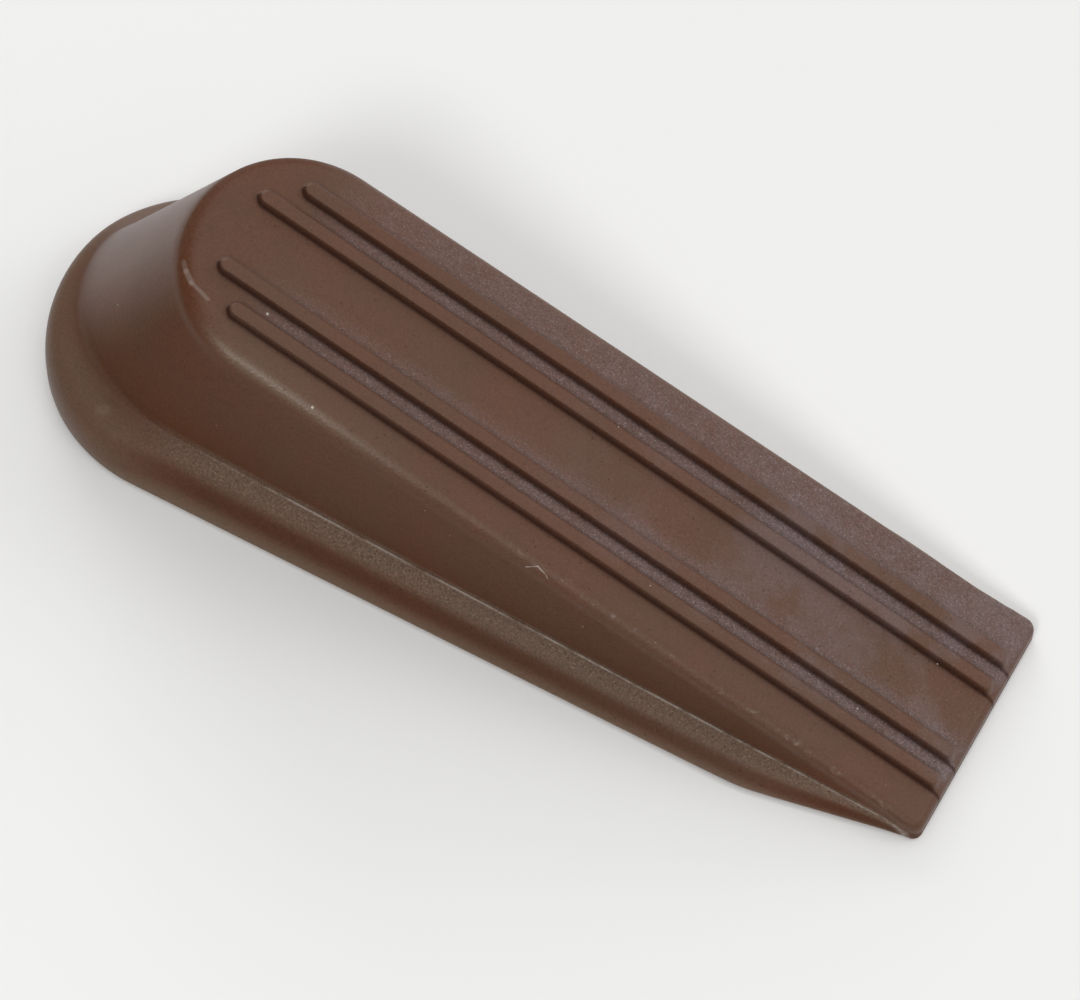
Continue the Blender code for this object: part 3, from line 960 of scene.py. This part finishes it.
# Scratches and scuffs, from the heel, centre line and floor, in millimetres: start, end, width,
# strength.
SCRATCHES = (
    ((17.3, -12.0, 18.1), (16.8, -12.9, 13.9), 0.13, 0.28),
    ((16.8, -12.9, 13.9), (16.2, -13.7, 9.5), 0.12, 0.42),
    ((17.7, -16.8, 6.2), (19.8, -16.9, 6.0), 0.22, 0.18),
    ((19.8, -16.9, 6.0), (21.6, -16.5, 6.0), 0.28, 0.24),
    ((21.6, -7.2, 32.6), (22.4, -8.0, 32.5), 0.42, 0.10),
    ((22.4, -8.0, 32.5), (23.6, -8.9, 32.4), 0.46, 0.14),
    ((23.6, -8.9, 32.4), (26.1, -9.6, 31.9), 0.34, 0.12),
    ((13.75, -2.5, 24.3), (14.25, -1.7, 25.3), 0.12, 0.35),
    ((14.0, -15.7, 6.4), (14.5, -15.5, 6.4), 1.1, 0.05),
    ((69.3, -14.5, 17.3), (70.5, -13.9, 17.6), 0.10, 0.42),
    ((70.5, -13.9, 17.6), (71.7, -14.2, 17.1), 0.10, 0.42),
    ((71.7, -14.2, 17.1), (72.9, -14.6, 15.4), 0.10, 0.32),
)


def specks(nodes, place, size, share, radius):
    """Small round dots, one in some of the cells of a grid of that size."""
    cells = nodes.add("ShaderNodeTexVoronoi", {"feature": "F1"}, Vector=place, Scale=1 / size)
    chosen = nodes.add("ShaderNodeSeparateColor", Color=cells.outputs["Color"]).outputs["Red"]
    few = nodes.math("GREATER_THAN", chosen, 1 - share)
    dot = nodes.ramp(cells.outputs["Distance"], radius, radius * SPECK_CORE)
    return nodes.times(few, dot)


def scratch(nodes, place, start, end, width, strength):
    """A straight faint mark between two points of the surface."""
    first = Vector(start) * MM + Vector((HEEL_CORNER.x, 0, 0))
    run = (Vector(end) - Vector(start)) * MM
    to_point = nodes.vector("SUBTRACT", place, first)
    along = nodes.vector("DOT_PRODUCT", to_point, run.normalized() / run.length, "Value")
    along = nodes.greater(nodes.math("MINIMUM", along, 1.0), 0.0)
    nearest = nodes.vector("SCALE", tuple(run), along)
    away = nodes.vector("LENGTH", nodes.vector("SUBTRACT", to_point, nearest), None, "Value")
    return nodes.times(nodes.ramp(away, width * MM, width * SCRATCH_CORE * MM), strength)


class RubberPatterns:
    """The patterns and marks that the rubber's colour, gloss and grain share."""

    def __init__(self, nodes):
        self.place = nodes.add("ShaderNodeTexCoord").outputs["Object"]
        for name in ("bloom", "crest", "flange_top", "polish", "rib_side", "wall", "far_wall",
                     "heel_roll", "tip", "flange_middle", "flange_low", "flash"):
            setattr(self, name, nodes.attribute(name))
        self.patches = nodes.noise(self.place, PATCH_SIZE, *PATCH_DETAIL)
        self.mottle = nodes.noise(self.place, MOTTLE_SIZE, *MOTTLE_DETAIL)
        self.grain = nodes.noise(self.place, GRAIN_SIZE, *GRAIN_DETAIL)
        self.fine = nodes.noise(self.place, FINE_SIZE, *GRAIN_DETAIL)
        self.sparkle = nodes.ramp(self.fine, *SPARKLE_RANGE)
        self.grainy = nodes.greater(self.bloom, self.flange_top)
        self.pits = specks(nodes, self.place, *PITS)


def stained(nodes, look):
    """The rubber's own colour, with its bloom and stains, painted sheen in the bloom and the tip's
    blotches, painted reflections and shade on the flange, and painted shade at the ribs' feet.
    """
    colour = nodes.mix(nodes.ramp(look.patches, *PATCH_RANGE), RED_BROWN, BROWN)
    colour = nodes.tint(colour, DARK_BROWN, nodes.ramp(look.mottle, *MOTTLE_RANGE), MOTTLE_TINT)
    colour = nodes.tint(colour, RED_BROWN, look.heel_roll, HEEL_ROLL_TINT)
    powder_and_sheen = nodes.plus(look.sparkle, nodes.times(look.mottle, POWDER_AND_SHEEN_MOTTLE))
    # Grey bloom beside the ribs, partly painted sheen.
    colour = nodes.tint(colour, GREY_BLOOM_AND_SHEEN, look.bloom, powder_and_sheen)
    # Grey blotches near the tip, partly painted sheen.
    blotch = nodes.ramp(nodes.noise(look.place, BLOTCH_SIZE, *BLOTCH_DETAIL), *BLOTCH_RANGE)
    blotch = nodes.plus(nodes.times(blotch, BLOTCH_TINT), nodes.times(look.sparkle, BLOTCH_SPARKLE))
    colour = nodes.tint(colour, GREY_BLOOM_AND_SHEEN, look.tip, blotch)
    olive = nodes.plus(nodes.times(look.sparkle, OLIVE_SPARKLE), OLIVE_TINT)
    # Painted reflection on the flange's top band.
    colour = nodes.tint(colour, OLIVE, look.flange_top, olive)
    # Painted shade on the flange's middle band.
    colour = nodes.tint(colour, DARK_BROWN, look.flange_middle, FLANGE_MIDDLE_SHADE_TINT)
    # Painted reflection along the flange's foot and round the heel.
    colour = nodes.tint(colour, OLIVE, look.flange_low, FLANGE_LOW_REFLECTION_TINT)
    colour = nodes.tint(colour, OLIVE, look.wall, WALL_TINT)
    # Painted shade along the near foot of each rib.
    return nodes.tint(colour, PIT_AND_SHADE, look.rib_side, RIB_FOOT_SHADE_TINT)


def grained(nodes, look, colour):
    """Lighter and darker grains, strongest in the rough places, and small pits."""
    swing = nodes.plus(nodes.times(look.grainy, GRAIN_SWING_ROUGH), GRAIN_SWING)
    swing = nodes.times(swing, nodes.minus(nodes.plus(look.grain, look.fine), 1.0))
    colour = nodes.scaled(colour, nodes.plus(swing, 1.0))
    return nodes.tint(colour, PIT_AND_SHADE, look.pits, PIT_TINT)


def marked(nodes, look, colour):
    """Wear with a painted highlight line on the crests, a painted highlight and glints on the polished
    edge, the pale flash with its painted highlight, dust and scratches.
    """
    # Wear and a painted highlight line along the crests.
    worn_and_highlight = nodes.ramp(nodes.noise(look.place, WORN_SIZE, *WORN_DETAIL), *WORN_RANGE)
    colour = nodes.tint(colour, DUST_AND_HIGHLIGHT, nodes.times(look.crest, worn_and_highlight), WORN_AND_HIGHLIGHT_TINT)
    # Painted highlight and glints along the polished near edge.
    colour = nodes.tint(colour, OLIVE, look.polish, POLISH_HIGHLIGHT_TINT)
    colour = nodes.tint(colour, DUST_AND_HIGHLIGHT, nodes.times(look.polish, look.sparkle), GLINT_TINT)
    # Pale flash line, partly painted highlight.
    flash = nodes.times(look.flash, nodes.ramp(look.mottle, *FLASH_RANGE))
    colour = nodes.tint(colour, DUST_AND_HIGHLIGHT, flash, FLASH_AND_HIGHLIGHT_TINT)
    small, large = (specks(nodes, look.place, *dots) for dots in DUST_SPECKS)
    colour = nodes.tint(colour, DUST_AND_HIGHLIGHT, nodes.greater(small, large), DUST_TINT)
    for mark in SCRATCHES:
        colour = nodes.mix(scratch(nodes, look.place, *mark), colour, DUST_AND_HIGHLIGHT)
    return colour


def set_gloss(nodes, look):
    """Roughness, reflection and the soft sheen of rubber; the walls and ribs' feet are dull."""
    rough = nodes.plus(nodes.times(look.grainy, ROUGHER_GRAIN), ROUGHNESS)
    rough = nodes.plus(rough, nodes.times(look.patches, ROUGHER_PATCHES))
    rough = nodes.minus(rough, nodes.times(look.polish, SMOOTHER_POLISH))
    dull = nodes.greater(nodes.times(look.wall, WALL_DULL), nodes.times(look.rib_side, RIB_FOOT_DULL))
    dull = nodes.greater(dull, nodes.times(look.heel_roll, HEEL_ROLL_DULL))
    dull = nodes.greater(dull, nodes.times(look.flange_middle, FLANGE_MIDDLE_DULL))
    gloss = nodes.times(nodes.minus(1.0, dull), GLOSS)
    gloss = nodes.plus(gloss, nodes.times(look.polish, POLISH_GLOSS))
    gloss = nodes.plus(gloss, nodes.times(look.far_wall, FAR_WALL_GLOSS))
    velvet = nodes.minus(1.0, nodes.greater(dull, nodes.times(look.polish, POLISH_NO_SHEEN)))
    nodes.put(nodes.shader.inputs["Roughness"], rough)
    nodes.put(nodes.shader.inputs["Specular IOR Level"], gloss)
    nodes.put(nodes.shader.inputs["Specular Tint"], REFLECTION_TINT)
    nodes.put(nodes.shader.inputs["Sheen Weight"], nodes.times(velvet, SHEEN))
    nodes.put(nodes.shader.inputs["Sheen Roughness"], SHEEN_ROUGHNESS)
    nodes.put(nodes.shader.inputs["Sheen Tint"], SHEEN_TINT)


def set_grain(nodes, look):
    """The finest relief, too small for the mesh: grain, shallow lumps and pits."""
    coarse = nodes.plus(nodes.times(look.grainy, GRAIN_RELIEF_ROUGH), GRAIN_RELIEF)
    height = nodes.plus(nodes.times(look.grain, coarse), nodes.times(look.fine, FINE_RELIEF))
    height = nodes.plus(height, nodes.times(look.mottle, MOTTLE_RELIEF))
    height = nodes.minus(height, nodes.times(look.pits, PIT_RELIEF))
    bump = nodes.add("ShaderNodeBump", Strength=1.0, Distance=RELIEF_DEPTH, Height=height)
    nodes.put(nodes.shader.inputs["Normal"], bump.outputs["Normal"])


def rubber():
    """Brown moulded rubber: mottled, finely grained, greyer and rougher beside the ribs, the grey
    partly painted sheen; painted shade, reflections and highlights are in its colour.
    """
    nodes = Nodes("brown_rubber_worn")
    look = RubberPatterns(nodes)
    colour = marked(nodes, look, grained(nodes, look, stained(nodes, look)))
    nodes.put(nodes.shader.inputs["Base Color"], colour)
    set_gloss(nodes, look)
    set_grain(nodes, look)
    return nodes.material


FLOOR_TONES = ((0.86, 0.86, 0.85, 1), (0.90, 0.90, 0.89, 1))
FLOOR_CLOUD_SIZE = 0.25
FLOOR_ROUGHNESS = 0.9
FLOOR_GLOSS = 0.1
FLOOR_SIZE = 6.0
FLOOR_GAP = 0.02 * MM


def floor_material():
    nodes = Nodes("pale_floor")
    place = nodes.add("ShaderNodeTexCoord").outputs["Object"]
    tone = nodes.mix(nodes.noise(place, FLOOR_CLOUD_SIZE), *FLOOR_TONES)
    nodes.put(nodes.shader.inputs["Base Color"], tone)
    nodes.put(nodes.shader.inputs["Roughness"], FLOOR_ROUGHNESS)
    nodes.put(nodes.shader.inputs["Specular IOR Level"], FLOOR_GLOSS)
    return nodes.material


def add_floor():
    half = FLOOR_SIZE / 2
    data = bpy.data.meshes.new("floor")
    corners = [(-half, -half, -FLOOR_GAP), (half, -half, -FLOOR_GAP),
               (half, half, -FLOOR_GAP), (-half, half, -FLOOR_GAP)]
    data.from_pydata(corners, [], [(0, 1, 2, 3)])
    data.materials.append(floor_material())
    floor = bpy.data.objects.new("floor", data)
    bpy.context.scene.collection.objects.link(floor)


# Square soft lights: name, direction from the object, distance, size and power.
LIGHTS = (
    ("front", (0.06, -0.66, 0.75), 1.2, 0.30, 4.5),
    ("low_back", (-0.60, 0.70, 0.35), 1.0, 0.50, 2.6),
    ("right_back", (0.62, 0.42, 0.62), 1.1, 0.45, 1.2),
)


def add_light(name, towards, distance, size, power):
    """A square soft light that faces the object from a direction."""
    direction = Vector(towards).normalized()
    data = bpy.data.lights.new(name, "AREA")
    data.shape = "SQUARE"
    data.size = size
    data.energy = power
    light = bpy.data.objects.new(name, data)
    light.location = direction * distance
    light.rotation_mode = "QUATERNION"
    light.rotation_quaternion = direction.to_track_quat("Z", "Y")
    bpy.context.scene.collection.objects.link(light)


SURROUND_BRIGHTEST = (0.28, 0.34, 0.90)
SURROUND_STRENGTHS = (0.15, 0.90)
SURROUND_RANGE = (0.15, 0.90)           # how far a direction faces the brightest one


def add_world():
    """An even pale surround, brighter overhead and behind, darker low on the near side."""
    world = bpy.data.worlds.new("studio")
    world.use_nodes = True
    tree = world.node_tree
    direction = tree.nodes.new("ShaderNodeTexCoord").outputs["Generated"]
    facing = tree.nodes.new("ShaderNodeVectorMath")
    facing.operation = "DOT_PRODUCT"
    tree.links.new(direction, facing.inputs[0])
    facing.inputs[1].default_value = Vector(SURROUND_BRIGHTEST).normalized()
    strength = tree.nodes.new("ShaderNodeMapRange")
    strength.interpolation_type = "SMOOTHSTEP"
    tree.links.new(facing.outputs["Value"], strength.inputs["Value"])
    strength.inputs["From Min"].default_value = SURROUND_RANGE[0]
    strength.inputs["From Max"].default_value = SURROUND_RANGE[1]
    strength.inputs["To Min"].default_value = SURROUND_STRENGTHS[0]
    strength.inputs["To Max"].default_value = SURROUND_STRENGTHS[1]
    tree.links.new(strength.outputs["Result"], tree.nodes["Background"].inputs["Strength"])
    tree.nodes["Background"].inputs["Color"].default_value = (1, 1, 1, 1)
    bpy.context.scene.world = world


CAMERA_AZIMUTH = math.radians(26.52)
CAMERA_ELEVATION = math.radians(61.23)
CAMERA_ROLL = math.radians(2.83)
CAMERA_DISTANCE = 520 * MM
CAMERA_LENS = 151.8
SENSOR_WIDTH = 36.0
NEAREST_SEEN = 0.01
FARTHEST_SEEN = 20.0
AIM_FROM_CENTRE = Vector((3.95, -1.04, -10.20)) * MM


def add_camera():
    azimuth, elevation = CAMERA_AZIMUTH, CAMERA_ELEVATION
    back = Vector((math.sin(azimuth) * math.cos(elevation),
                   -math.cos(azimuth) * math.cos(elevation), math.sin(elevation)))
    level = Vector((math.cos(azimuth), math.sin(azimuth), 0))
    upright = back.cross(level)
    right = level * math.cos(CAMERA_ROLL) + upright * math.sin(CAMERA_ROLL)
    up = upright * math.cos(CAMERA_ROLL) - level * math.sin(CAMERA_ROLL)
    aim = (cad_box[0] + cad_box[1]) / 2 + AIM_FROM_CENTRE
    data = bpy.data.cameras.new("camera")
    data.lens = CAMERA_LENS
    data.sensor_width = SENSOR_WIDTH
    data.clip_start = NEAREST_SEEN
    data.clip_end = FARTHEST_SEEN
    camera = bpy.data.objects.new("camera", data)
    pose = Matrix((right, up, back)).transposed().to_4x4()
    pose.translation = aim + back * CAMERA_DISTANCE
    camera.matrix_world = pose
    bpy.context.scene.collection.objects.link(camera)
    bpy.context.scene.camera = camera


def plain(corner):
    return [float(value) for value in corner]


ROWS = row_positions()
add_camera()
body = build_body()
mark_surface(body)
body.data.materials.append(rubber())
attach(body, "root")
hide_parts(NODE)
add_floor()
for light in LIGHTS:
    add_light(*light)
add_world()
bpy.context.scene.view_settings.view_transform = "Standard"
